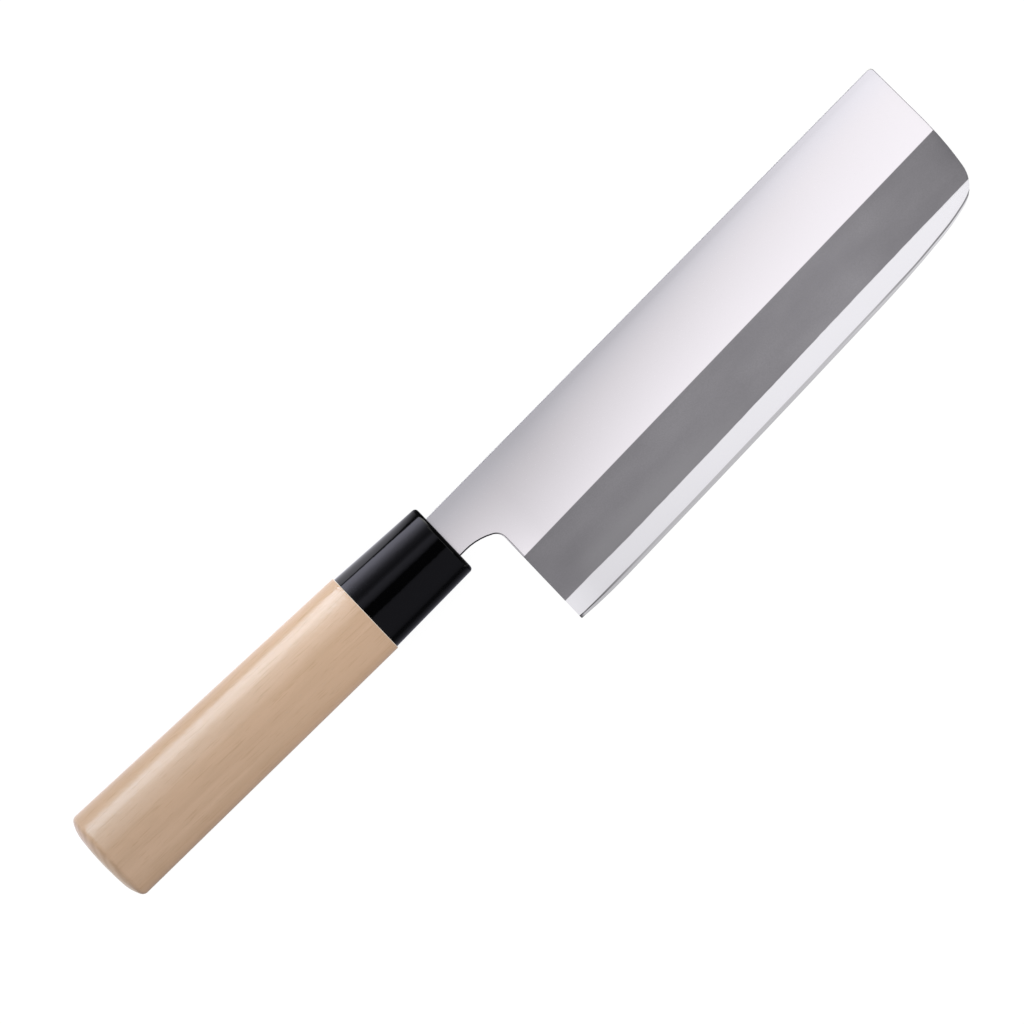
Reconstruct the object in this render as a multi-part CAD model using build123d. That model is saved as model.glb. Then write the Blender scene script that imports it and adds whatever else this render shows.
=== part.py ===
from build123d import *
import os
from math import asin, cos, degrees, radians, sin, tan

# A nakiri: a laminated vegetable knife with a hidden tang, a black cap and an oval wooden grip.
# Lengths are in millimetres and angles in degrees. While the pieces are made, X runs from the front
# face of the cap towards the blade's front end, Y towards the spine, and Z is up out of the right face.
# The blade's middle plane is Z = 0 and the handle's axis crosses it at the origin.

# Blade, seen from the side
blade_reach = 175.95
blade_height = 50.78
spine_above_axis = 7.42
spine_corner_radius = 1.3
front_arc_radius = 108.0
front_arc_angle = 9.77
corner_radius = 10.4
corner_angle = 66.1
corner_lead_radius = 67.0
corner_lead_angle = 8.55
belly_radius = 350.0
belly_angle = 4.13
edge_radius = 7920.0
heel_rise_radius = 173.0
heel_rise_length = 16.3

# Heel and finger notch
heel_setback = 11.95
heel_lean_angle = 1.9
neck_height = 14.05
notch_sweep_radius = 17.7
notch_sweep_angle = 29.0
notch_corner_radius = 3.4

# Blade, through its thickness
spine_thickness = 2.0
core_thickness = 0.8
flat_depth_at_heel = 26.7
flat_depth_at_front = 24.65
bevel_angle = 2.06
final_bevel_angle = 9.9
final_bevel_runout_radius = 25.0
edge_land = 0.04
outline_rounding = 0.22
notch_rounding = 0.42

# Tang
neck_depth = 7.0
tang_length = 92.0
tang_root_height = 9.0
tang_end_height = 5.0
tang_end_thickness = 1.3
tang_taper_lead = 0.4

# Handle: an oval section, with its long axis in the blade's plane
handle_pitch_angle = 1.97
oval_width_share = 0.75
cap_length = 30.0
cap_front_height = 23.25
cap_rear_height = 25.45
cap_wall = 1.9
cap_front_wall = 3.5
cap_front_rounding = 1.2
slot_clearance = 0.15
grip_length = 100.8
grip_front_height = 26.3
grip_butt_height = 29.2
grip_front_rounding = 0.3
butt_dome_radius = 90.0
butt_dome_height = 17.2
butt_shoulder_radius = 12.5
butt_rounding = 2.0
tenon_clearance = 0.1
glue_pocket_length = 5.0
glue_gap = 0.5
bore_end_gap = 2.0

# How far a cutting shape runs past what it cuts
overrun = 0.5

right_angle = 90

half_spine = spine_thickness / 2
half_core = core_thickness / 2
spine_y = spine_above_axis
neck_y = spine_y - neck_height
handle_length = cap_length + grip_length
socket_length = cap_length - cap_front_wall
tenon_length = socket_length - glue_pocket_length


def bend(place, heading, radius, turn):
    """One arc of a run. A negative turn bends to the right."""
    arc = JernArc(start=place, tangent=heading, radius=radius, arc_size=turn)
    return arc, arc @ 1, arc % 1


def reach(radius, slope, turn):
    """How far towards the handle an arc runs that starts at a slope and flattens by a turn."""
    return radius * (sin(radians(slope)) - sin(radians(slope - turn)))


def drop(radius, slope, turn):
    """How far down an arc runs, to its lowest point or its end."""
    return radius * (cos(radians(max(slope - turn, 0))) - cos(radians(slope)))


def turn_over(distance, radius, slope):
    """The turn of an arc that starts at a slope and runs a distance towards the handle."""
    return slope - degrees(asin(sin(radians(slope)) - distance / radius))


def outline_arcs():
    """Radius and turn of each arc, from the foot of the straight front end to behind the heel."""
    arcs = [
        (front_arc_radius, front_arc_angle),
        (corner_radius, corner_angle),
        (corner_lead_radius, corner_lead_angle),
        (belly_radius, belly_angle),
    ]
    x = blade_reach
    slope = right_angle
    for radius, turn in arcs:
        x -= reach(radius, slope, turn)
        slope -= turn
    edge_turn = turn_over(x - heel_setback - heel_rise_length, edge_radius, slope)
    arcs.append((edge_radius, edge_turn))
    slope -= edge_turn
    past_heel = heel_rise_length + heel_setback / 2
    arcs.append((heel_rise_radius, turn_over(past_heel, heel_rise_radius, slope)))
    return arcs


def arcs_drop():
    """The height from the foot of the straight front end down to the lowest point of the edge."""
    total = 0
    slope = right_angle
    for radius, turn in outline_arcs():
        total += drop(radius, slope, turn)
        slope -= turn
    return total


def front_run():
    """The visible outline from the spine's front corner down to where the front corner ends."""
    spine_end = Vector(blade_reach - spine_corner_radius, spine_y)
    corner, place, heading = bend(spine_end, Vector(1, 0), spine_corner_radius, -right_angle)
    flat_foot = Vector(blade_reach, spine_y - blade_height + arcs_drop())
    edges = [corner, Line(place, flat_foot)]
    place = flat_foot
    for radius, turn in outline_arcs()[:2]:
        arc, place, heading = bend(place, heading, radius, -turn)
        edges.append(arc)
    return edges, spine_end, place, heading


def edge_run(place, heading, inset):
    """The cutting edge's arcs, from the front corner back past the heel, moved inwards by inset."""
    place = place + heading.rotate(Axis.Z, -right_angle) * inset
    edges = []
    for radius, turn in outline_arcs()[2:]:
        arc, place, heading = bend(place, heading, radius - inset, -turn)
        edges.append(arc)
    return edges, place, heading


def notch_plan():
    """What the outline leaves out below the neck and behind the heel."""
    heel_heading = Vector(0, -1).rotate(Axis.Z, -heel_lean_angle)
    corner_left_angle = right_angle - notch_sweep_angle + heel_lean_angle
    sweep, place, heading = bend(Vector(0, neck_y), Vector(1, 0), notch_sweep_radius, -notch_sweep_angle)
    corner, place, heading = bend(place, heading, notch_corner_radius, -corner_left_angle)
    lead = Vector(heel_setback - place.X, 0)
    heel_top = place + lead
    heel_foot = heel_top + heel_heading * blade_height
    behind = -neck_depth - overrun
    outline = [
        Line((behind, neck_y), Vector(0, neck_y) + lead),
        sweep.moved(Location(lead)),
        corner.moved(Location(lead)),
        Line(heel_top, heel_foot),
        Line(heel_foot, (behind, heel_foot.Y)),
        Line((behind, heel_foot.Y), (behind, neck_y)),
    ]
    return make_face(outline)


def tang_plan():
    """The hidden tang, narrowing evenly along the handle's axis."""
    root = -neck_depth + overrun
    tang = Polygon(
        (root, tang_root_height / 2),
        (-tang_length, tang_end_height / 2),
        (-tang_length, -tang_end_height / 2),
        (root, -tang_root_height / 2),
        align=None,
    )
    return Rotation(0, 0, -handle_pitch_angle) * tang


def blade_plan():
    """The blade and tang, seen from the right side."""
    edges, spine_end, place, heading = front_run()
    edge_arcs, end, _ = edge_run(place, heading, 0)
    neck_end = Vector(-neck_depth, spine_y)
    foot = Vector(-neck_depth, end.Y)
    closing = [Line(end, foot), Line(foot, neck_end), Line(neck_end, spine_end)]
    return make_face(edges + edge_arcs + closing) - notch_plan() + tang_plan()


def final_bevel_section(height):
    """The outline that the final bevel leaves at a height above the middle plane."""
    _, _, place, heading = front_run()
    inset = (height - edge_land / 2) / tan(radians(final_bevel_angle))
    edge_arcs, end, end_heading = edge_run(place, heading, inset)
    start = place + heading.rotate(Axis.Z, -right_angle) * inset
    runout, runout_end, runout_heading = bend(
        start, heading * -1, final_bevel_runout_radius - inset, corner_angle
    )
    top_y = spine_y + blade_height
    front_top = runout_end + runout_heading * blade_height * 2
    rear_foot = end + end_heading * (tang_length + blade_height)
    outline = edge_arcs + [
        Line(end, rear_foot),
        Line(rear_foot, (rear_foot.X, top_y)),
        Line((rear_foot.X, top_y), front_top),
        Line(front_top, runout_end),
        runout,
    ]
    return Location((0, 0, height)) * make_face(outline)


def final_bevel_envelope():
    """The space inside the final bevel of the right half."""
    low = final_bevel_section(-overrun)
    high = final_bevel_section(half_spine + overrun)
    return loft([low, high], ruled=True)


def main_bevel_cut():
    """What the wide bevel takes off the right half below the line where the flat ends."""
    rise = flat_depth_at_heel - flat_depth_at_front
    along = Vector(blade_reach - heel_setback, rise).normalized()
    heel_point = Vector(heel_setback, spine_y - flat_depth_at_heel)
    start = heel_point - along * (heel_setback + overrun)
    across = Plane(origin=start, x_dir=along.rotate(Axis.Z, right_angle), z_dir=along)
    drop = blade_height * tan(radians(bevel_angle))
    section = Polygon(
        (0, half_spine),
        (0, half_spine + overrun),
        (-blade_height, half_spine + overrun),
        (-blade_height, half_spine - drop),
        align=None,
    )
    return extrude(across * section, amount=blade_reach + heel_setback)


def tang_taper_cut():
    """What the tang's taper takes off the right half, from just in front of the cap."""
    reach = tang_length + tang_taper_lead
    slope = (half_spine - tang_end_thickness / 2) / reach
    far = -tang_length - overrun
    profile = Polygon(
        (tang_taper_lead, half_spine),
        (tang_taper_lead, half_spine + overrun),
        (far, half_spine + overrun),
        (far, half_spine - slope * (reach + overrun)),
        align=None,
    )
    side = Plane(origin=(0, blade_height, 0), x_dir=(1, 0, 0), z_dir=(0, -1, 0))
    return extrude(side * profile, amount=blade_height * 2)


def outline_edges(slab, rear, front):
    """The edges round the slab's upper face whose middles lie between two places along the blade."""
    upper_face = slab.faces().filter_by(Axis.Z).sort_by(Axis.Z)[-1]
    return upper_face.edges().filter_by(lambda edge: rear < edge.center().X <= front)


def right_half_blade():
    """Everything of the blade and tang above the middle plane."""
    slab = extrude(blade_plan(), amount=half_spine)
    slab -= tang_taper_cut()
    slab = fillet(outline_edges(slab, tang_taper_lead + overrun, heel_setback), notch_rounding)
    slab = fillet(outline_edges(slab, heel_setback, blade_reach), outline_rounding)
    slab -= main_bevel_cut()
    return slab & final_bevel_envelope()


def layer(half_blade, low, high):
    """The part of a half blade between two heights."""
    reach = blade_reach + tang_length
    slab = Box(reach * 2, reach, high - low, align=(Align.CENTER, Align.CENTER, Align.MIN))
    return half_blade & Location((0, 0, low)) * slab


def blade_pieces():
    """The hard core between its two soft claddings."""
    half_blade = right_half_blade()
    cladding = layer(half_blade, half_core, half_spine + overrun)
    core_half = layer(half_blade, 0, half_core)
    return {
        "core_steel": core_half + mirror(core_half, about=Plane.XY),
        "cladding_right": cladding,
        "cladding_left": mirror(cladding, about=Plane.XY),
    }


def oval(setback, height):
    """A cross-section of the handle, behind the cap's front face."""
    across = Plane(origin=(-setback, 0, 0), x_dir=(0, 1, 0), z_dir=(1, 0, 0))
    return across * Ellipse(height / 2, height / 2 * oval_width_share)


def cap_height_at(setback):
    """The cap's outer height at a distance behind its front face."""
    return cap_front_height + (cap_rear_height - cap_front_height) * setback / cap_length


def socket(gap, front, rear):
    """The cap's inner taper between two setbacks, smaller all round by a gap."""
    walls = (cap_wall + gap) * 2
    return loft([oval(front, cap_height_at(front) - walls), oval(rear, cap_height_at(rear) - walls)])


def tang_bore():
    """The slot in the tenon and grip that takes the tang."""
    bore_front = cap_front_wall + glue_pocket_length - overrun
    bore_rear = tang_length + bore_end_gap
    height = tang_root_height + glue_gap * 2
    thickness = spine_thickness + glue_gap * 2
    slot = Box(bore_rear - bore_front, height, thickness, align=(Align.MAX, Align.CENTER, Align.CENTER))
    return Location((-bore_front, 0, 0)) * slot


def to_handle_line(piece):
    """Turns a piece made along X onto the handle's pitched axis."""
    return Rotation(0, 0, -handle_pitch_angle) * piece


def ferrule():
    """The moulded cap: a thin oval shell, closed in front but for the tang's slot."""
    shell = loft([oval(0, cap_front_height), oval(cap_length, cap_rear_height)])
    rim = shell.edges().group_by(Axis.X)[-1]
    shell = fillet(rim, cap_front_rounding)
    shell -= socket(0, cap_front_wall, cap_length + overrun)
    slot = Box(
        (cap_front_wall + overrun) * 2,
        neck_height + slot_clearance * 2,
        spine_thickness + slot_clearance * 2,
    )
    return to_handle_line(shell) - Location((0, spine_y - neck_height / 2, 0)) * slot


def butt_envelope():
    """The space inside the butt's end: a gentle oval dome with a tighter shoulder round it."""
    dome_angle = degrees(asin(butt_dome_height / 2 / butt_dome_radius))
    apex = Vector(-handle_length, 0)
    dome, place, heading = bend(apex, Vector(0, 1), butt_dome_radius, -dome_angle)
    shoulder, place, heading = bend(place, heading, butt_shoulder_radius, dome_angle - right_angle)
    outline = [
        dome,
        shoulder,
        Line(place, (0, place.Y)),
        Line((0, place.Y), (0, 0)),
        Line((0, 0), apex),
    ]
    turned = revolve(make_face(outline), axis=Axis.X)
    return scale(turned, by=(1, 1, oval_width_share))


def handle_body():
    """The wooden grip with a domed butt, a tenon for the cap and a bore for the tang."""
    past_butt = handle_length + overrun
    swell = (grip_butt_height - grip_front_height) / grip_length
    past_height = grip_front_height + swell * (grip_length + overrun)
    grip = loft([oval(cap_length, grip_front_height), oval(past_butt, past_height)])
    rim = grip.edges().group_by(Axis.X)[-1]
    grip = fillet(rim, grip_front_rounding)
    grip &= butt_envelope()
    side = grip.faces().sort_by(SortBy.AREA)[-1]
    butt_edge = side.edges().sort_by(Axis.X)[:1]
    grip = fillet(butt_edge, butt_rounding)
    tenon_front = cap_length - tenon_length
    grip += socket(tenon_clearance, tenon_front, cap_length + overrun)
    return to_handle_line(grip - tang_bore())


def tang_adhesive(tang):
    """The glue bed: it fills the pocket behind the cap's front wall and the bore around the tang."""
    pocket = socket(0, cap_front_wall, cap_front_wall + glue_pocket_length)
    return to_handle_line(pocket + tang_bore()) - tang


def all_pieces():
    """Every piece by its name, in the places where they are made."""
    pieces = blade_pieces()
    tang = pieces["core_steel"] + pieces["cladding_right"] + pieces["cladding_left"]
    pieces["ferrule"] = ferrule()
    pieces["handle_body"] = handle_body()
    pieces["tang_adhesive"] = tang_adhesive(tang)
    return pieces


def main():
    pieces = all_pieces()
    box = Compound(children=[Part(piece.wrapped) for piece in pieces.values()]).bounding_box()
    home = Location((-box.center().X, -box.center().Y, -box.min.Z))
    print("the making origin lies at", home.position)
    os.makedirs("parts", exist_ok=True)
    for name, piece in pieces.items():
        export_step(home * piece, f"parts/{name}.step")


main()
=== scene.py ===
from math import cos, pi, radians, sin, tan
from types import SimpleNamespace

import bpy
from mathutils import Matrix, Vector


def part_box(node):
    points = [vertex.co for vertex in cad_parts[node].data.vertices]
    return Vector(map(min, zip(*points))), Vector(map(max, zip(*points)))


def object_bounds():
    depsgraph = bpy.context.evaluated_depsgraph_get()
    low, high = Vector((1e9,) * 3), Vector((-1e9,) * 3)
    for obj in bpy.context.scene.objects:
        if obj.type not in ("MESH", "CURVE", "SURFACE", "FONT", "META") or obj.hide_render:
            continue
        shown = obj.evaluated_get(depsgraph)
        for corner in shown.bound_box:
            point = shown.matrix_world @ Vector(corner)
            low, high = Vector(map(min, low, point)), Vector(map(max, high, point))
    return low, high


# The nakiri's finishes, studio and camera. Lengths are in metres and angles in degrees.
# The knife lies with its right face up. X runs to the blade's front end and Y to the spine.

# Sizes of the knife that its finishes follow
blade_reach = 0.17595
blade_height = 0.0508
heel_setback = 0.01195
spine_above_axis = 0.00742
flat_depth_at_heel = 0.0267
flat_depth_at_front = 0.02465
spine_thickness = 0.002
bevel_angle = 2.06
handle_pitch_angle = 1.97
cap_length = 0.030
cap_front_height = 0.02325
oval_width_share = 0.75

# Where the hard core shows below the matte band, measured down from the spine
core_depth_at_heel = 0.04399
core_depth_at_front = 0.04104
core_line_wave = 0.00012
core_line_wavelength = 0.130
core_line_wave_start = 0.038
core_rise_at_heel = 0.00043
core_rise_length = 0.026
core_line_ripple = 0.00012
finish_line_softness = 0.00012

# Camera: straight above the blade, rolled so that the spine climbs to the upper right
camera_distance = 5.0
camera_roll_angle = 45.47
picture_side = 0.28366
sensor_width = 36.0
centre_ahead_of_cap = 0.01834
centre_below_axis = 0.00826
camera_reach = 100.0

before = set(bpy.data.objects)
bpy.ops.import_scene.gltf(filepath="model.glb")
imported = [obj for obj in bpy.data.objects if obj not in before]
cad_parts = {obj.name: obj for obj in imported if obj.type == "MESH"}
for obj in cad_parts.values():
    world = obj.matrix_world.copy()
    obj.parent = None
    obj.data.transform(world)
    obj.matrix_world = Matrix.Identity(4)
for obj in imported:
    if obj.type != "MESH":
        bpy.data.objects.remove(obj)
cad_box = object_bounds()

core_low, core_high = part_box("core_steel")
blade_front_x = core_high.x
spine_y = core_high.y
blade_middle_z = (core_low.z + core_high.z) / 2
blade_right_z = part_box("cladding_right")[1].z
blade_left_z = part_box("cladding_left")[0].z
cap_front_x = blade_front_x - blade_reach
axis_y = spine_y - spine_above_axis


# Nodes

def add(tree, kind, inputs=(), **settings):
    """Adds a node, whose inputs are values or other nodes' outputs, by name or number."""
    node = tree.nodes.new(kind)
    for name, value in settings.items():
        setattr(node, name, value)
    for socket, value in dict(inputs).items():
        if isinstance(value, bpy.types.NodeSocket):
            tree.links.new(value, node.inputs[socket])
        else:
            node.inputs[socket].default_value = value
    return node


def calculate(tree, operation, *values, clamp=False):
    settings = {"operation": operation, "use_clamp": clamp}
    return add(tree, "ShaderNodeMath", enumerate(values), **settings).outputs[0]


def multiply(tree, first, *factors):
    result = first
    for factor in factors:
        result = calculate(tree, "MULTIPLY", result, factor)
    return result


def span(tree, value, low, high, first=0.0, last=1.0, kind="LINEAR"):
    """Maps a value between two limits onto two results."""
    inputs = {"Value": value, "From Min": low, "From Max": high, "To Min": first, "To Max": last}
    node = add(tree, "ShaderNodeMapRange", inputs, interpolation_type=kind, clamp=kind != "LINEAR")
    return node.outputs["Result"]


def soft_step(tree, value, low, high, first=0.0, last=1.0):
    return span(tree, value, low, high, first, last, kind="SMOOTHSTEP")


def mix_colours(tree, share, first, second, mode="MIX"):
    """Mixes two colours. Inputs 6 and 7 and output 2 are the mixing node's sockets for colours."""
    node = add(tree, "ShaderNodeMix", data_type="RGBA", blend_type=mode, clamp_factor=True)
    sockets = {node.inputs["Factor"]: share, node.inputs[6]: first, node.inputs[7]: second}
    for socket, value in sockets.items():
        if isinstance(value, bpy.types.NodeSocket):
            tree.links.new(value, socket)
        else:
            socket.default_value = value if isinstance(value, float) else (*value, 1.0)
    return node.outputs[2]


def mix_values(tree, share, first, second):
    inputs = {0: share, 2: first, 3: second}
    return add(tree, "ShaderNodeMix", inputs, data_type="FLOAT").outputs[0]


def ramp(tree, value, stops):
    """A brightness that runs through pairs of place and brightness."""
    node = add(tree, "ShaderNodeValToRGB", {"Fac": value})
    elements = node.color_ramp.elements
    while len(elements) < len(stops):
        elements.new(0.0)
    for element, (place, _) in zip(elements, stops):
        element.position = place
    for element, (_, brightness) in zip(node.color_ramp.elements, stops):
        element.color = (brightness, brightness, brightness, 1.0)
    return node.outputs["Color"]


def angle_ramp(tree, angle, stops, limits, peak):
    """A brightness that runs through pairs of angle and brightness, none above the peak."""
    low, high = limits
    shares = [((stop - low) / (high - low), brightness / peak) for stop, brightness in stops]
    field = ramp(tree, span(tree, angle, radians(low), radians(high)), shares)
    return multiply(tree, field, peak)


def split(tree, vector):
    return add(tree, "ShaderNodeSeparateXYZ", {0: vector}).outputs


def local_place(tree, origin, turn_angle=0.0):
    """A point of the object, seen from an origin whose X is turned about Z."""
    inputs = {
        "Vector": add(tree, "ShaderNodeTexCoord").outputs["Object"],
        "Location": origin,
        "Rotation": (0.0, 0.0, radians(turn_angle)),
    }
    return add(tree, "ShaderNodeMapping", inputs, vector_type="TEXTURE").outputs[0]


def blade_place(tree):
    """A point seen from the spine above the cap's front: along the blade, spineward and up."""
    return local_place(tree, (cap_front_x, spine_y, blade_middle_z))


def axis_place(tree):
    """A point seen from the middle of the cap's front, with the blade's own directions."""
    return local_place(tree, (cap_front_x, axis_y, blade_middle_z))


def handle_place(tree):
    """A point seen from the middle of the cap's front: along the handle, spineward and up."""
    return local_place(tree, (cap_front_x, axis_y, blade_middle_z), -handle_pitch_angle)


def surface_direction(tree):
    """How far the surface faces forward, spineward and up."""
    return split(tree, add(tree, "ShaderNodeTexCoord").outputs["Normal"])


def noise(tree, place, size, detail=2.0, roughness=0.5, distortion=0.0):
    """Noise whose patches have a size along each axis."""
    shares = add(tree, "ShaderNodeVectorMath", {0: place, 1: size}, operation="DIVIDE").outputs[0]
    inputs = {
        "Vector": shares,
        "Scale": 1.0,
        "Detail": detail,
        "Roughness": roughness,
        "Distortion": distortion,
    }
    return add(tree, "ShaderNodeTexNoise", inputs).outputs["Fac"]


def noise_span(tree, value, first=0.0, last=1.0):
    """Maps noise, which mostly lies between 0.3 and 0.7, onto two results."""
    return span(tree, value, 0.3, 0.7, first, last)


def relief(tree, height, strength, distance):
    """The direction of a surface with fine bumps on it."""
    inputs = {"Strength": strength, "Distance": distance, "Height": height}
    return add(tree, "ShaderNodeBump", inputs).outputs[0]


def new_material(name):
    material = bpy.data.materials.new(name)
    material.use_nodes = True
    material.node_tree.nodes.clear()
    return material, material.node_tree


def make_finish(name, paint):
    """A material whose look a function paints."""
    material, tree = new_material(name)
    shader = add(tree, "ShaderNodeBsdfPrincipled", paint(tree))
    add(tree, "ShaderNodeOutputMaterial", {"Surface": shader.outputs[0]})
    return material


# Steel

# Sizes of the noise's patches along the blade, spineward and up
cloud_size = (0.030, 0.012, 0.012)
speckle_size = (0.0004, 0.0004, 0.0004)
polish_line_size = (0.060, 0.00025, 0.00025)
core_ripple_size = (0.004, 0.01, 0.01)

# Tones of the flat, from the spine down to a depth, and of the core's band
spine_tone = (0.922, 0.900, 0.970)
flat_tone = (0.943, 0.903, 0.952)
spine_tone_depth = 0.011
core_tone = (0.868, 0.856, 0.897)

# Tones of the matte band: clouds, a dark speckle over them and a plain part low down near the heel
dark_cloud_tone = (0.290, 0.280, 0.301)
pale_cloud_tone = (0.350, 0.339, 0.361)
speckle_tone = (0.240, 0.235, 0.247)
speckle_strength = 0.25
plain_tone = (0.335, 0.327, 0.343)
plain_strength = 0.6
plain_depths = (0.034, 0.041)
plain_rise = (0.014, 0.028)
plain_fall = (0.100, 0.050)

# Tones of the final bevel and the sides; painted shade that widens the final bevel's strip above
# the facet, a painted dark line of shade along its upper border, painted shade along the finger
# notch's rounding, and a painted tone that keeps the spine rounding's reflection neutral
core_side_tone = (0.80, 0.79, 0.82)
cladding_side_tone = (0.80, 0.78, 0.81)
painted_strip_shade = (0.600, 0.590, 0.612)
painted_border_shade = (0.120, 0.118, 0.126)
painted_notch_shade = (0.100, 0.095, 0.100)
spine_reflection_tone = (0.680, 0.680, 0.620)

# How far below the wide bevel's plane the final bevel and the sides are taken to begin
below_bevel_limits = (0.000003, 0.000008)
strip_softness = 0.000004

# How far the surface faces up or down: 1 on the flats and 0 on the sides
side_limits = (0.5, 0.7)
rounding_limits = (0.996, 0.985)
spine_side_limits = (0.10, 0.25)

# Where the roundings of the notch and the spine are painted
notch_front_limits = (0.0126, 0.0108)
notch_depth_limits = (0.008, 0.010)
spine_depth_limits = (0.0012, 0.0008)

# How dull the steel is, and how high its polish lines stand against the matte band's speckle
flat_roughness = (0.13, 0.17)
matte_roughness = 0.5
core_roughness = 0.24
polish_line_share = 0.15

# How pale the matte band is, by the share of the blade's length
matte_stops = (
    (0.07, 0.82),
    (0.15, 0.84),
    (0.30, 0.86),
    (0.57, 0.86),
    (0.74, 0.95),
    (0.82, 0.84),
    (0.90, 0.76),
    (0.97, 0.75),
    (1.00, 0.83),
)

# Half the thickness where the painted strip of the final bevel begins, by the same share, in
# millimetres; above the facet the strip is painted shade
millimetre = 0.001
strip_height_stops = (
    (0.08, 0.188),
    (0.10, 0.184),
    (0.20, 0.177),
    (0.30, 0.177),
    (0.42, 0.182),
    (0.58, 0.186),
    (0.66, 0.193),
    (0.74, 0.197),
    (0.82, 0.205),
    (0.89, 0.200),
    (0.93, 0.175),
    (0.96, 0.150),
)

# How strongly the painted shade shows as a dark line along the final bevel's upper border, by the
# same share
border_stops = (
    (0.07, 1.00),
    (0.10, 0.80),
    (0.15, 0.55),
    (0.20, 0.20),
    (0.24, 0.08),
    (0.60, 0.04),
    (0.72, 0.22),
    (0.81, 0.58),
    (0.89, 0.80),
    (1.00, 0.80),
)

# How far half the thickness falls across that line, as a share of the most, by the same share
most_border_fall = 0.0001
border_fall_stops = (
    (0.07, 0.6),
    (0.09, 0.45),
    (0.12, 0.25),
    (0.25, 0.25),
    (0.72, 0.5),
    (0.82, 1.0),
)

# Where the line fades out, as shares of that fall
border_fade = (1.0, 0.6)


def distance_into_core(tree, place, along, depth):
    """How far a point lies below the line where the core begins to show."""
    limits = (heel_setback, blade_reach)
    start = span(tree, along, *limits, core_depth_at_heel, core_depth_at_front)
    wave_place = calculate(tree, "SUBTRACT", along, core_line_wave_start)
    phase = multiply(tree, wave_place, 2 * pi / core_line_wavelength)
    wave = multiply(tree, calculate(tree, "SINE", phase), core_line_wave)
    rise_end = heel_setback + core_rise_length
    rise = soft_step(tree, along, heel_setback, rise_end, core_rise_at_heel, 0.0)
    ripple_noise = noise(tree, place, core_ripple_size)
    ripple = span(tree, ripple_noise, 0.0, 1.0, -core_line_ripple, core_line_ripple)

    distance = calculate(tree, "SUBTRACT", depth, start)
    distance = calculate(tree, "SUBTRACT", distance, wave)
    distance = calculate(tree, "ADD", distance, rise)
    return calculate(tree, "ADD", distance, ripple)


def blade_zones(tree, place):
    """Where each point of the blade lies, and its shares in the blade's bands."""
    along, across, up = split(tree, place)
    depth = multiply(tree, across, -1.0)
    limits = (heel_setback, blade_reach)
    flat_end = span(tree, along, *limits, flat_depth_at_heel, flat_depth_at_front)
    into_bevel = calculate(tree, "SUBTRACT", depth, flat_end)
    into_core = distance_into_core(tree, place, along, depth)

    below_flat = calculate(tree, "MAXIMUM", into_bevel, 0.0)
    bevel_drop = multiply(tree, below_flat, tan(radians(bevel_angle)))
    bevel_height = calculate(tree, "SUBTRACT", spine_thickness / 2, bevel_drop)
    half_thickness = calculate(tree, "ABSOLUTE", up)
    below_bevel = calculate(tree, "SUBTRACT", bevel_height, half_thickness)
    return SimpleNamespace(
        along=along,
        depth=depth,
        length_share=span(tree, along, 0.0, blade_reach),
        half_thickness=half_thickness,
        flatness=calculate(tree, "ABSOLUTE", surface_direction(tree)[2]),
        bevel=soft_step(tree, into_bevel, -finish_line_softness, finish_line_softness),
        core=soft_step(tree, into_core, -finish_line_softness, finish_line_softness),
        below_bevel=soft_step(tree, below_bevel, *below_bevel_limits),
    )


def matte_colour(tree, place, speckle, zones):
    """Clouds with a fine dark speckle, plainer low down near the heel."""
    clouds = noise(tree, place, cloud_size, detail=4.0)
    colour = mix_colours(tree, noise_span(tree, clouds), dark_cloud_tone, pale_cloud_tone)
    speckle_share = noise_span(tree, speckle, 0.0, speckle_strength)
    colour = mix_colours(tree, speckle_share, colour, speckle_tone)
    paleness = ramp(tree, zones.length_share, matte_stops)
    colour = mix_colours(tree, 1.0, colour, paleness, "MULTIPLY")
    plain_share = multiply(
        tree,
        soft_step(tree, zones.depth, *plain_depths),
        soft_step(tree, zones.along, *plain_fall, 0.0, plain_strength),
        soft_step(tree, zones.along, *plain_rise),
    )
    return mix_colours(tree, plain_share, colour, plain_tone)


def paint_final_bevel(tree, colour, side_tone, zones):
    """The final bevel's strip, widened with painted shade above the facet, with a painted dark
    line of shade along its upper border, and the blade's sides.
    """
    facing = soft_step(tree, zones.flatness, *side_limits)
    sides = calculate(tree, "SUBTRACT", zones.below_bevel, facing, clamp=True)
    colour = mix_colours(tree, sides, colour, side_tone)

    strip_height = multiply(tree, ramp(tree, zones.length_share, strip_height_stops), millimetre)
    into_strip = calculate(tree, "SUBTRACT", strip_height, zones.half_thickness)
    strip = multiply(tree, soft_step(tree, into_strip, 0.0, strip_softness), facing)
    # Above the facet the strip is painted shade, standing in for the facet's darker reflection
    strip_tone = mix_colours(tree, zones.below_bevel, painted_strip_shade, side_tone)
    colour = mix_colours(tree, strip, colour, strip_tone)

    # A painted dark line of shade along the strip's upper border
    fall = multiply(tree, ramp(tree, zones.length_share, border_fall_stops), most_border_fall)
    border = soft_step(tree, calculate(tree, "DIVIDE", into_strip, fall), *border_fade)
    border = multiply(tree, border, strip, ramp(tree, zones.length_share, border_stops))
    return mix_colours(tree, border, colour, painted_border_shade)


def paint_roundings(tree, colour, zones):
    """Painted shade along the finger notch's rounding, and a duller, yellowish painted tone along
    the spine's rounding that keeps its reflection neutral.
    """
    rounding = soft_step(tree, zones.flatness, *rounding_limits)
    # Painted shade along the finger notch's rounding
    notch = multiply(
        tree,
        rounding,
        soft_step(tree, zones.along, *notch_front_limits),
        soft_step(tree, zones.depth, *notch_depth_limits),
    )
    colour = mix_colours(tree, notch, colour, painted_notch_shade)
    # A duller, yellowish painted tone on the spine's rounding, which cancels the cool tint of its
    # reflection
    spine = multiply(
        tree,
        rounding,
        soft_step(tree, zones.depth, *spine_depth_limits),
        soft_step(tree, zones.flatness, *spine_side_limits),
    )
    return mix_colours(tree, spine, colour, spine_reflection_tone)


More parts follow.
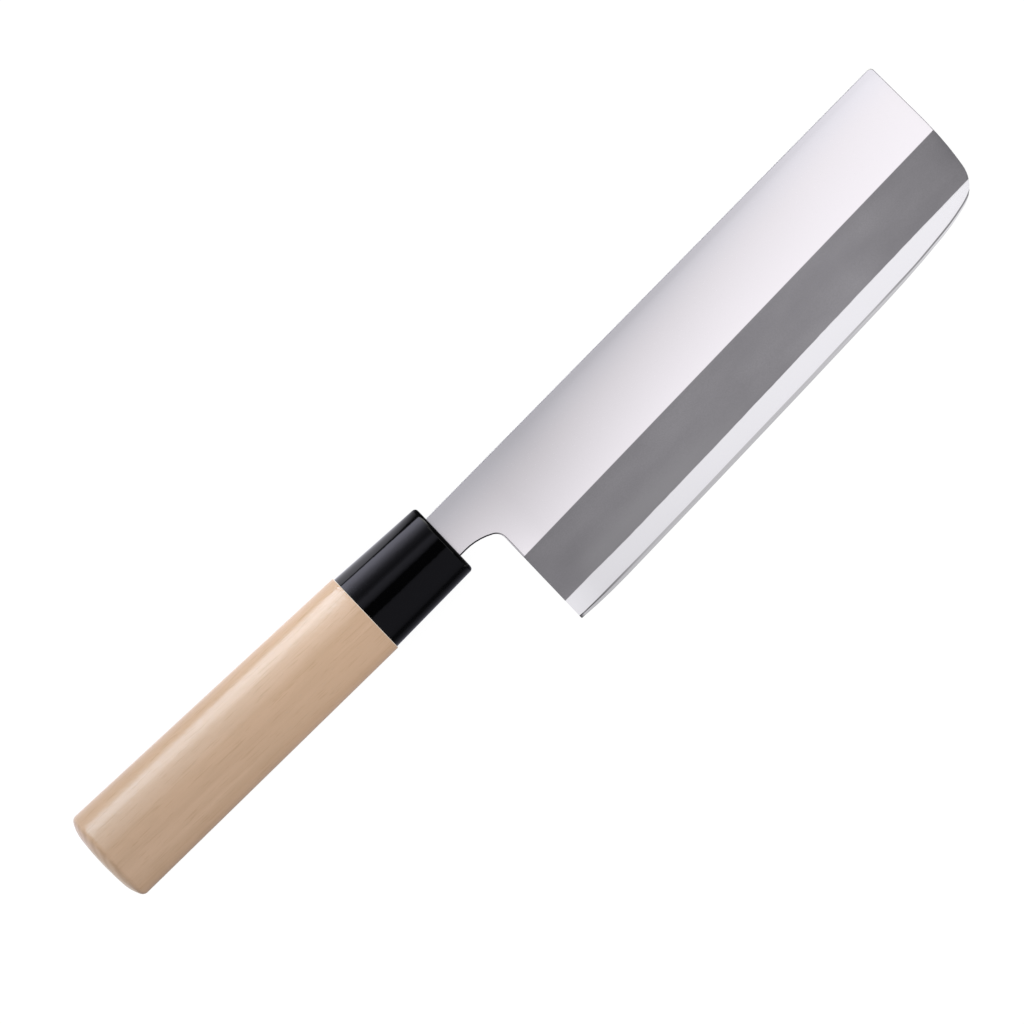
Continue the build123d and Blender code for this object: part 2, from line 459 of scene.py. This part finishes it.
def paint_steel(tree, side_tone):
    """Polished flat, matte cloudy band and bright edge band of a laminated blade."""
    place = blade_place(tree)
    zones = blade_zones(tree, place)
    speckle = noise(tree, place, speckle_size, detail=1.0)
    lines = noise(tree, place, polish_line_size)

    flat_share = soft_step(tree, zones.depth, 0.0, spine_tone_depth)
    colour = mix_colours(tree, flat_share, spine_tone, flat_tone)
    colour = mix_colours(tree, zones.bevel, colour, matte_colour(tree, place, speckle, zones))
    colour = mix_colours(tree, zones.core, colour, core_tone)
    colour = paint_final_bevel(tree, colour, side_tone, zones)
    colour = paint_roundings(tree, colour, zones)

    roughness = noise_span(tree, lines, *flat_roughness)
    roughness = mix_values(tree, zones.bevel, roughness, matte_roughness)
    roughness = mix_values(tree, zones.core, roughness, core_roughness)

    matte = calculate(tree, "SUBTRACT", zones.bevel, zones.core)
    line_height = multiply(tree, lines, polish_line_share)
    height = calculate(tree, "ADD", line_height, multiply(tree, speckle, matte))
    return {
        "Base Color": colour,
        "Metallic": 1.0,
        "Roughness": roughness,
        "Normal": relief(tree, height, strength=0.15, distance=0.00002),
    }


def paint_core(tree):
    return paint_steel(tree, core_side_tone)


def paint_cladding(tree):
    return paint_steel(tree, cladding_side_tone)


# Black plastic

# Handling marks and dust: sizes of the noise's patches along the handle, spineward and up
rub_size = (0.012, 0.004, 0.004)
rub_limits = (0.2, 0.8)
rub_roughness = (0.05, 0.07)
dust_size = (0.0006, 0.0006, 0.0006)
clean_black = (0.0005, 0.0005, 0.0006)
dusty_black = (0.0009, 0.0009, 0.0010)

# How far the front rim's reflection is turned down as it faces forward, painted shade that keeps
# it black, and how much later that begins towards the spine side
body_specular = 0.5
rim_specular = 0.04
rim_limits = (0.06, 0.20)
spine_side_start = (0.20, 0.45)
spine_side_delay = 0.44


def paint_plastic(tree):
    """Polished black moulding with faint handling marks, and painted shade on the front rim and
    face, whose reflection is turned down so that they show black.
    """
    place = handle_place(tree)
    rub = noise(tree, place, rub_size, detail=3.0)
    dust = noise(tree, place, dust_size, detail=1.0)
    forward, spineward, _ = surface_direction(tree)
    # Painted shade: the reflection is turned down where the rim faces forward
    delay = soft_step(tree, spineward, *spine_side_start, 0.0, spine_side_delay)
    rim = calculate(tree, "SUBTRACT", forward, delay)
    return {
        "Base Color": mix_colours(tree, dust, clean_black, dusty_black),
        "Roughness": span(tree, rub, *rub_limits, *rub_roughness),
        "IOR": 1.5,
        "Specular IOR Level": soft_step(tree, rim, *rim_limits, body_specular, rim_specular),
        "Normal": relief(tree, rub, strength=0.05, distance=0.00002),
    }


# Wood

# Grain and broad bands along the grip, and their tones
grain_size = (0.028, 0.0005, 0.0005)
grain_limits = (0.35, 0.75)
grain_strength = 0.2
grain_tone = (0.533, 0.358, 0.224)
band_size = (0.090, 0.0032, 0.0032)
band_limits = (0.32, 0.68)
dark_band_tone = (0.606, 0.404, 0.262)
pale_band_tone = (0.662, 0.447, 0.300)
wood_roughness = (0.28, 0.34)

# Figure, streaks and flecks: the noise's patch size, detail and distortion, the limits between
# which it makes a mark, and the mark's strength and tone
wood_marks = (
    ((0.009, 0.006, 0.006), 2.0, 0.5, (0.45, 0.70), 0.25, (0.567, 0.383, 0.245)),
    ((0.007, 0.0005, 0.0005), 2.0, 0.3, (0.55, 0.72), 0.40, (0.480, 0.305, 0.170)),
    ((0.0022, 0.00035, 0.00035), 1.0, 0.0, (0.66, 0.80), 0.25, (0.450, 0.355, 0.270)),
)

# Painted light: how pale the wood is, paler towards the cap, by the share of the grip's length
# from its butt
painted_wood_light_stops = ((0.0, 0.78), (0.2, 0.81), (0.5, 0.86), (0.84, 0.95), (1.0, 0.96))
wood_limits = (-0.13, -0.03)

# Growth rings on the butt, whose centre lies spineward of the axis and below it
ring_centre_across = 0.030
ring_centre_up = -0.045
ring_spacing = 0.0026
ring_wander = 0.002
dark_ring_tone = (0.400, 0.262, 0.166)
pale_ring_tone = (0.470, 0.320, 0.215)
butt_limits = (-0.30, -0.62)

# Painted highlight: paler wood where the grip's rounded front edge faces forward, towards the cap
painted_front_highlight = (0.950, 0.860, 0.740)
front_highlight_strength = 0.8
front_highlight_limits = (0.25, 0.60)


def ring_colour(tree, bands):
    """Growth rings round a line beside the grip, which wander a little with the bands."""
    centre = (cap_front_x, axis_y + ring_centre_across, blade_middle_z + ring_centre_up)
    _, across, up = split(tree, local_place(tree, centre, -handle_pitch_angle))
    squares = [calculate(tree, "POWER", part, 2.0) for part in (across, up)]
    radius = calculate(tree, "SQRT", calculate(tree, "ADD", *squares))
    wandering = calculate(tree, "ADD", radius, multiply(tree, bands, ring_wander))
    phase = multiply(tree, wandering, 2 * pi / ring_spacing)
    rings = span(tree, calculate(tree, "SINE", phase), -1.0, 1.0)
    return mix_colours(tree, rings, pale_ring_tone, dark_ring_tone)


def paint_wood(tree):
    """Close-grained pale wood: straight grain along the grip, growth rings at the butt, painted
    light that turns it paler towards the cap, and a painted highlight along its front edge.
    """
    place = handle_place(tree)
    grain = noise(tree, place, grain_size, detail=3.0, roughness=0.6)
    bands = noise(tree, place, band_size, distortion=0.3)
    band_share = soft_step(tree, bands, *band_limits)
    colour = mix_colours(tree, band_share, dark_band_tone, pale_band_tone)
    grain_share = span(tree, grain, *grain_limits, 0.0, grain_strength)
    colour = mix_colours(tree, grain_share, colour, grain_tone)
    for size, detail, distortion, limits, strength, tone in wood_marks:
        marks = noise(tree, place, size, detail=detail, distortion=distortion)
        colour = mix_colours(tree, soft_step(tree, marks, *limits, 0.0, strength), colour, tone)
    # Painted light, paler towards the cap
    paleness = ramp(tree, span(tree, split(tree, place)[0], *wood_limits), painted_wood_light_stops)
    colour = mix_colours(tree, 1.0, colour, paleness, "MULTIPLY")

    forward = surface_direction(tree)[0]
    butt = soft_step(tree, forward, *butt_limits)
    colour = mix_colours(tree, butt, colour, ring_colour(tree, bands))
    # Painted highlight along the forward-facing front edge
    front = soft_step(tree, forward, *front_highlight_limits, 0.0, front_highlight_strength)
    return {
        "Base Color": mix_colours(tree, front, colour, painted_front_highlight),
        "Roughness": noise_span(tree, grain, *wood_roughness),
        "IOR": 1.5,
        "Normal": relief(tree, grain, strength=0.2, distance=0.00003),
    }


# Glue

glue_cloud_size = (0.004, 0.002, 0.002)
dark_glue_tone = (0.60, 0.42, 0.20)
pale_glue_tone = (0.68, 0.52, 0.30)
glue_roughness = (0.25, 0.4)


def paint_glue(tree):
    """Amber glue with faint clouds."""
    clouds = noise(tree, handle_place(tree), glue_cloud_size)
    return {
        "Base Color": mix_colours(tree, clouds, dark_glue_tone, pale_glue_tone),
        "Roughness": span(tree, clouds, 0.0, 1.0, *glue_roughness),
    }


def dress(node, material):
    """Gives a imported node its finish."""
    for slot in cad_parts[node].material_slots:
        slot.material = material


def dress_all():
    cladding = make_finish("cladding_finish", paint_cladding)
    dress("cladding_right", cladding)
    dress("cladding_left", cladding)
    dress("core_steel", make_finish("core_finish", paint_core))
    dress("ferrule", make_finish("moulded_black", paint_plastic))
    dress("handle_body", make_finish("pale_wood", paint_wood))
    dress("tang_adhesive", make_finish("glue", paint_glue))


# Stage

background_light = 0.88
floor_reach = 4.0
floor_clearance = 0.0001
floor_glow = 0.93
floor_grey = 0.8
floor_shadow_grey = 0.12


def background_rays(tree):
    """1 for what the camera sees, directly or in gloss or glass, and 0 for plain light."""
    path = add(tree, "ShaderNodeLightPath").outputs
    seen = calculate(tree, "ADD", path["Is Camera Ray"], path["Is Glossy Ray"])
    return calculate(tree, "ADD", seen, path["Is Transmission Ray"], clamp=True)


def add_world():
    world = bpy.data.worlds.new("studio")
    world.use_nodes = True
    tree = world.node_tree
    tree.nodes.clear()
    strength = mix_values(tree, background_rays(tree), background_light, 1.0)
    inputs = {"Color": (1.0, 1.0, 1.0, 1.0), "Strength": strength}
    background = add(tree, "ShaderNodeBackground", inputs)
    add(tree, "ShaderNodeOutputWorld", {"Surface": background.outputs[0]})
    bpy.context.scene.world = world


def new_stage_mesh(name, points, faces, material):
    mesh = bpy.data.meshes.new(name)
    mesh.from_pydata(points, [], faces)
    mesh.materials.append(material)
    piece = bpy.data.objects.new(name, mesh)
    bpy.context.scene.collection.objects.link(piece)
    return piece


def add_gloss_piece(name, points, faces, strength, tint=(1.0, 1.0, 1.0)):
    """A shining piece that only gloss shows. Its strength and tint are values or painted."""
    material, tree = new_material(name)
    inputs = {
        "Color": tint(tree) if callable(tint) else (*tint, 1.0),
        "Strength": strength(tree) if callable(strength) else strength,
    }
    emission = add(tree, "ShaderNodeEmission", inputs)
    add(tree, "ShaderNodeOutputMaterial", {"Surface": emission.outputs[0]})
    material.cycles.emission_sampling = "NONE"
    piece = new_stage_mesh(name, points, faces, material)
    piece.visible_camera = False
    piece.visible_diffuse = False
    piece.visible_shadow = False
    piece.visible_transmission = False
    piece.visible_volume_scatter = False


def add_arc(points, faces, sides, limits, steps, turn_angle=0.0):
    """Adds a curved strip between two sides, each a place along the handle's axis and a radius."""
    low, high = limits
    turn = radians(turn_angle)
    for step in range(steps + 1):
        angle = radians(low + (high - low) * step / steps)
        for along, radius in sides:
            across = radius * sin(angle)
            x = cap_front_x + along * cos(turn) - across * sin(turn)
            y = axis_y + along * sin(turn) + across * cos(turn)
            points.append((x, y, blade_middle_z + radius * cos(angle)))
        if step:
            last = len(points) - 1
            faces.append((last - 3, last - 2, last, last - 1))


def grey_diffuse(tree, grey):
    return add(tree, "ShaderNodeBsdfDiffuse", {"Color": (grey, grey, grey, 1.0)}).outputs[0]


def floor_material():
    """White to the camera, with a faint shadow, and open from below."""
    material, tree = new_material("floor")
    glow = add(tree, "ShaderNodeEmission", {"Strength": floor_glow}).outputs[0]
    shades = {0: grey_diffuse(tree, floor_shadow_grey), 1: glow}
    shown = add(tree, "ShaderNodeAddShader", shades).outputs[0]
    shades = {0: background_rays(tree), 1: grey_diffuse(tree, floor_grey), 2: shown}
    top = add(tree, "ShaderNodeMixShader", shades).outputs[0]
    under = add(tree, "ShaderNodeNewGeometry").outputs["Backfacing"]
    clear = add(tree, "ShaderNodeBsdfTransparent").outputs[0]
    mixed = add(tree, "ShaderNodeMixShader", {0: under, 1: top, 2: clear}).outputs[0]
    add(tree, "ShaderNodeOutputMaterial", {"Surface": mixed})
    return material


def table_points(x_limits, y_limits, lift):
    """A rectangle over the table that the cap's front rim and the blade's front end rest on."""
    cap_low_z = blade_middle_z - cap_front_height / 2 * oval_width_share
    slope = (blade_left_z - cap_low_z) / blade_reach
    (rear, front), (near, far) = x_limits, y_limits
    corners = ((rear, near), (front, near), (front, far), (rear, far))
    return [(x, y, cap_low_z + lift + slope * (x - cap_front_x)) for x, y in corners]


def add_floor():
    limits = (-floor_reach, floor_reach)
    points = table_points(limits, limits, -floor_clearance)
    new_stage_mesh("floor", points, [(0, 1, 2, 3)], floor_material())


# Cloths on the table, a dark one on the handle's edge side and a white one on the other

cloth_lift = 0.0002
cloth_width = 1.5
cloth_margin = 0.3
cool_tint = (1.0, 0.99, 1.19)
white_cloth_tint = (1.0, 0.99, 1.09)
white_cloth_glow = 1.35

# Their brightness, by the distance from the handle's axis and by the place along the cap
dark_cloth_limits = (0.012, 0.112)
dark_cloth_stops = ((0.0, 0.33), (0.20, 0.15), (0.55, 0.05), (1.0, 0.04))
white_cloth_limits = (-cap_length, 0.005)
white_cloth_stops = ((0.0, 1.0), (0.4, 1.0), (0.65, 0.85), (0.8, 0.50), (0.9, 0.15), (1.0, 0.03))


def dark_cloth_strength(tree):
    """Lighter close to the handle."""
    distance = multiply(tree, split(tree, handle_place(tree))[1], -1.0)
    return ramp(tree, span(tree, distance, *dark_cloth_limits), dark_cloth_stops)


def white_cloth_strength(tree):
    """Dimmer towards the cap's front and beyond it."""
    along = split(tree, axis_place(tree))[0]
    field = ramp(tree, span(tree, along, *white_cloth_limits), white_cloth_stops)
    return multiply(tree, field, white_cloth_glow)


def add_cloths():
    half_cap = cap_front_height / 2
    rear = cad_box[0].x - cloth_margin
    front = cad_box[1].x + cloth_margin
    near_side = (axis_y - cloth_width, axis_y - half_cap)
    far_side = (axis_y + half_cap, axis_y + cloth_width)
    near_points = table_points((rear, cap_front_x + heel_setback), near_side, cloth_lift)
    far_points = table_points((rear, front), far_side, cloth_lift)
    faces = [(0, 1, 2, 3)]
    add_gloss_piece("dark_cloth", near_points, faces, dark_cloth_strength, cool_tint)
    add_gloss_piece("white_cloth", far_points, faces, white_cloth_strength, white_cloth_tint)


# Blade card, a diffuser close above the blade

blade_card_gap = 0.010

# Its corners: how far each lies in front of the cap and below the spine
blade_card_corners = (
    (-0.0009, -0.0012),
    (-0.0009, 0.0146),
    (0.0045, 0.0152),
    (0.0086, 0.0170),
    (0.0104, 0.0194),
    (0.0114, 0.0240),
    (0.0108, 0.0265),
    (0.0040, 0.0290),
    (0.0040, 0.0710),
    (0.1772, 0.0710),
    (0.1772, -0.0012),
)

# Its brightness above the spine and above the matte band, by the share of the blade's length
spine_glow_stops = (
    (0.00, 0.49),
    (0.10, 0.485),
    (0.20, 0.47),
    (0.29, 0.50),
    (0.42, 0.53),
    (0.50, 0.55),
    (0.58, 0.585),
    (0.65, 0.62),
    (0.73, 0.665),
    (0.81, 0.735),
    (0.90, 0.80),
    (1.00, 0.89),
)
edge_glow_stops = (
    (0.00, 0.98),
    (0.05, 0.94),
    (0.12, 0.82),
    (0.22, 0.86),
    (0.40, 0.93),
    (0.60, 0.965),
    (1.00, 1.00),
)

# How the brightness rises from the spine on, by the same share: 1 is even, less is faster at first
steepness_stops = ((0.0, 0.98), (0.2, 0.78), (0.3, 0.62), (0.58, 0.46), (0.8, 0.36))
even_depth = 0.0019
rise_past_spine = 4.0

# Its brightness past the cutting edge
past_edge_glow = 0.60
past_edge_softness = 0.0018


def blade_card_strength(tree):
    """Dim over the neck and spine, bright over the front and the edge."""
    along, across, _ = split(tree, blade_place(tree))
    length_share = span(tree, along, 0.0, blade_reach)
    depth = multiply(tree, across, -1.0)
    distance = calculate(tree, "MAXIMUM", depth, multiply(tree, across, rise_past_spine))
    depth_share = span(tree, distance, even_depth, flat_depth_at_heel)
    depth_share = calculate(tree, "MAXIMUM", depth_share, 0.0, clamp=True)
    rise = calculate(tree, "POWER", depth_share, ramp(tree, length_share, steepness_stops))
    spine_glow = ramp(tree, length_share, spine_glow_stops)
    edge_glow = ramp(tree, length_share, edge_glow_stops)
    field = mix_values(tree, rise, spine_glow, edge_glow)
    past_edge = soft_step(tree, across, -blade_height, -blade_height - past_edge_softness)
    return mix_values(tree, past_edge, field, past_edge_glow)


def add_blade_card():
    height = blade_right_z + blade_card_gap
    points = []
    for ahead, below in blade_card_corners:
        points.append((cap_front_x + ahead, spine_y - below, height))
    faces = [tuple(range(len(points)))]
    add_gloss_piece("blade_card", points, faces, blade_card_strength)


# Tent: panels, flags and a softbox, joined in one half pipe over the knife

tent_radius = 1.5
tent_half_length = 3.0
tent_steps = 60
tent_limits = (-100.0, 100.0)
tent_peak = 2.8

# Its brightness, by the angle from straight up, positive towards the spine side
tent_stops = (
    (-100.0, 0.05),
    (-90.0, 0.04),
    (-81.0, 0.14),
    (-72.0, 0.17),
    (-60.0, 0.19),
    (-22.0, 0.19),
    (-17.0, 0.16),
    (-14.5, 0.012),
    (5.0, 0.012),
    (8.5, 0.15),
    (13.0, 0.30),
    (17.5, 0.37),
    (22.0, 0.37),
    (26.5, 0.20),
    (31.0, 0.125),
    (36.0, 0.16),
    (41.5, 0.235),
    (47.0, 0.44),
    (52.5, 0.80),
    (59.0, 1.30),
    (65.5, 1.92),
    (72.5, 2.48),
    (81.0, 2.70),
    (86.0, 2.70),
    (87.8, 0.42),
    (90.5, 0.42),
    (92.5, 1.30),
    (100.0, 1.70),
)

# Where its cool tint ends, ahead of the cap's front and behind it
cool_end_ahead = (0.20, 0.50)
cool_end_behind = (-0.30, -0.60)


def tent_strength(tree):
    _, across, up = split(tree, axis_place(tree))
    angle = calculate(tree, "ARCTAN2", across, up)
    return angle_ramp(tree, angle, tent_stops, tent_limits, tent_peak)


def tent_tint(tree):
    """Cool over the cap and plain beyond it."""
    along = split(tree, axis_place(tree))[0]
    ahead = soft_step(tree, along, *cool_end_ahead)
    behind = soft_step(tree, along, *cool_end_behind)
    return mix_colours(tree, calculate(tree, "ADD", ahead, behind), cool_tint, (1.0, 1.0, 1.0))


def add_tent():
    points = []
    faces = []
    ends = [end - cap_front_x for end in (-tent_half_length, tent_half_length)]
    sides = [(end, tent_radius) for end in ends]
    add_arc(points, faces, sides, tent_limits, tent_steps)
    add_gloss_piece("tent", points, faces, tent_strength, tent_tint)


# Grip card, a curved diffuser close round the grip's spine side

grip_card_rear = -0.150
grip_card_front = -0.029
grip_card_radius = 0.050
grip_card_steps = 40
grip_card_limits = (-83.0, 95.0)
grip_card_peak = 10.0

# Its brightness, by the angle from straight up, positive towards the spine side
grip_card_stops = (
    (-83.0, 0.10),
    (-75.0, 0.80),
    (-60.0, 1.00),
    (-20.0, 1.00),
    (-8.0, 0.40),
    (8.0, 0.40),
    (14.0, 1.60),
    (22.5, 2.20),
    (30.5, 2.65),
    (41.0, 3.30),
    (47.0, 4.60),
    (51.0, 8.80),
    (95.0, 8.80),
)

# Where the bright band ends on the spine side, by the place along the grip, and how softly
band_places = (-0.106, -0.046)
band_end_angles = (70.5, 79.2)
band_softness = (-1.5, 2.5)
past_band_share = 0.04

# How much brighter it is at its front end
front_boost = 1.35
front_boost_length = 0.014

# Its tint, from the edge side to the spine side
tint_places = (-0.007, 0.014)
edge_side_tint = (1.0, 1.0, 1.05)
spine_side_tint = (0.75, 1.01, 1.30)

# Pale slats inside it, which hide it from rays that slant along the grip
slat_count = 41
slat_depth = 0.0038
slat_glow = 0.8


def grip_card_strength(tree):
    """A bright band beside the grip, stronger at the card's front end."""
    along, across, up = split(tree, handle_place(tree))
    angle = calculate(tree, "ARCTAN2", across, up)
    field = angle_ramp(tree, angle, grip_card_stops, grip_card_limits, grip_card_peak)
    band_end = span(tree, along, *band_places, *map(radians, band_end_angles))
    past_band = calculate(tree, "SUBTRACT", angle, band_end)
    inside = soft_step(tree, past_band, *map(radians, band_softness), 1.0, past_band_share)
    boost_start = grip_card_front - front_boost_length
    boost = soft_step(tree, along, boost_start, grip_card_front, 1.0, front_boost)
    return multiply(tree, field, inside, boost)


def grip_card_tint(tree):
    across = split(tree, handle_place(tree))[1]
    spine_side = soft_step(tree, across, *tint_places)
    return mix_colours(tree, spine_side, edge_side_tint, spine_side_tint)


def add_grip_arc(points, faces, sides):
    add_arc(points, faces, sides, grip_card_limits, grip_card_steps, -handle_pitch_angle)


def add_grip_card():
    points = []
    faces = []
    ends = (grip_card_rear, grip_card_front)
    add_grip_arc(points, faces, [(end, grip_card_radius) for end in ends])
    add_gloss_piece("grip_card", points, faces, grip_card_strength, grip_card_tint)


def add_grip_slats():
    points = []
    faces = []
    radii = (grip_card_radius, grip_card_radius - slat_depth)
    spacing = (grip_card_front - grip_card_rear) / (slat_count - 1)
    for slat in range(slat_count):
        along = grip_card_rear + slat * spacing
        add_grip_arc(points, faces, [(along, radius) for radius in radii])
    add_gloss_piece("grip_slats", points, faces, slat_glow)


# Lamps and camera

def add_lamp(name, lean_angle, distance, size, watts, tint=(1.0, 1.0, 1.0)):
    """A soft lamp over the knife, leaning towards the spine side by an angle from straight up."""
    lamp = bpy.data.lights.new(name, "AREA")
    lamp.color = tint
    lamp.shape = "RECTANGLE"
    lamp.size, lamp.size_y = size
    lamp.energy = watts
    holder = bpy.data.objects.new(name, lamp)
    angle = radians(lean_angle)
    holder.location = (0.0, distance * sin(angle), distance * cos(angle))
    holder.rotation_euler = (-angle, 0.0, 0.0)
    holder.visible_glossy = False
    bpy.context.scene.collection.objects.link(holder)


def add_lamps():
    cool = (0.91, 1.0, 1.055)
    add_lamp("spine_side_lamp", 80.0, distance=1.6, size=(1.2, 0.5), watts=9.9, tint=cool)
    add_lamp("top_lamp", 0.0, distance=2.0, size=(1.4, 1.4), watts=2.0)


def add_camera():
    camera = bpy.data.cameras.new("camera")
    camera.sensor_width = sensor_width
    camera.lens = sensor_width * camera_distance / picture_side
    camera.clip_end = camera_reach
    holder = bpy.data.objects.new("camera", camera)
    x = cap_front_x + centre_ahead_of_cap
    y = axis_y - centre_below_axis
    holder.location = (x, y, blade_right_z + camera_distance)
    holder.rotation_euler = (0.0, 0.0, -radians(camera_roll_angle))
    bpy.context.scene.collection.objects.link(holder)
    bpy.context.scene.camera = holder


bpy.context.scene.view_settings.view_transform = "Standard"
dress_all()
add_world()
add_floor()
add_cloths()
add_blade_card()
add_tent()
add_grip_card()
add_grip_slats()
add_lamps()
add_camera()
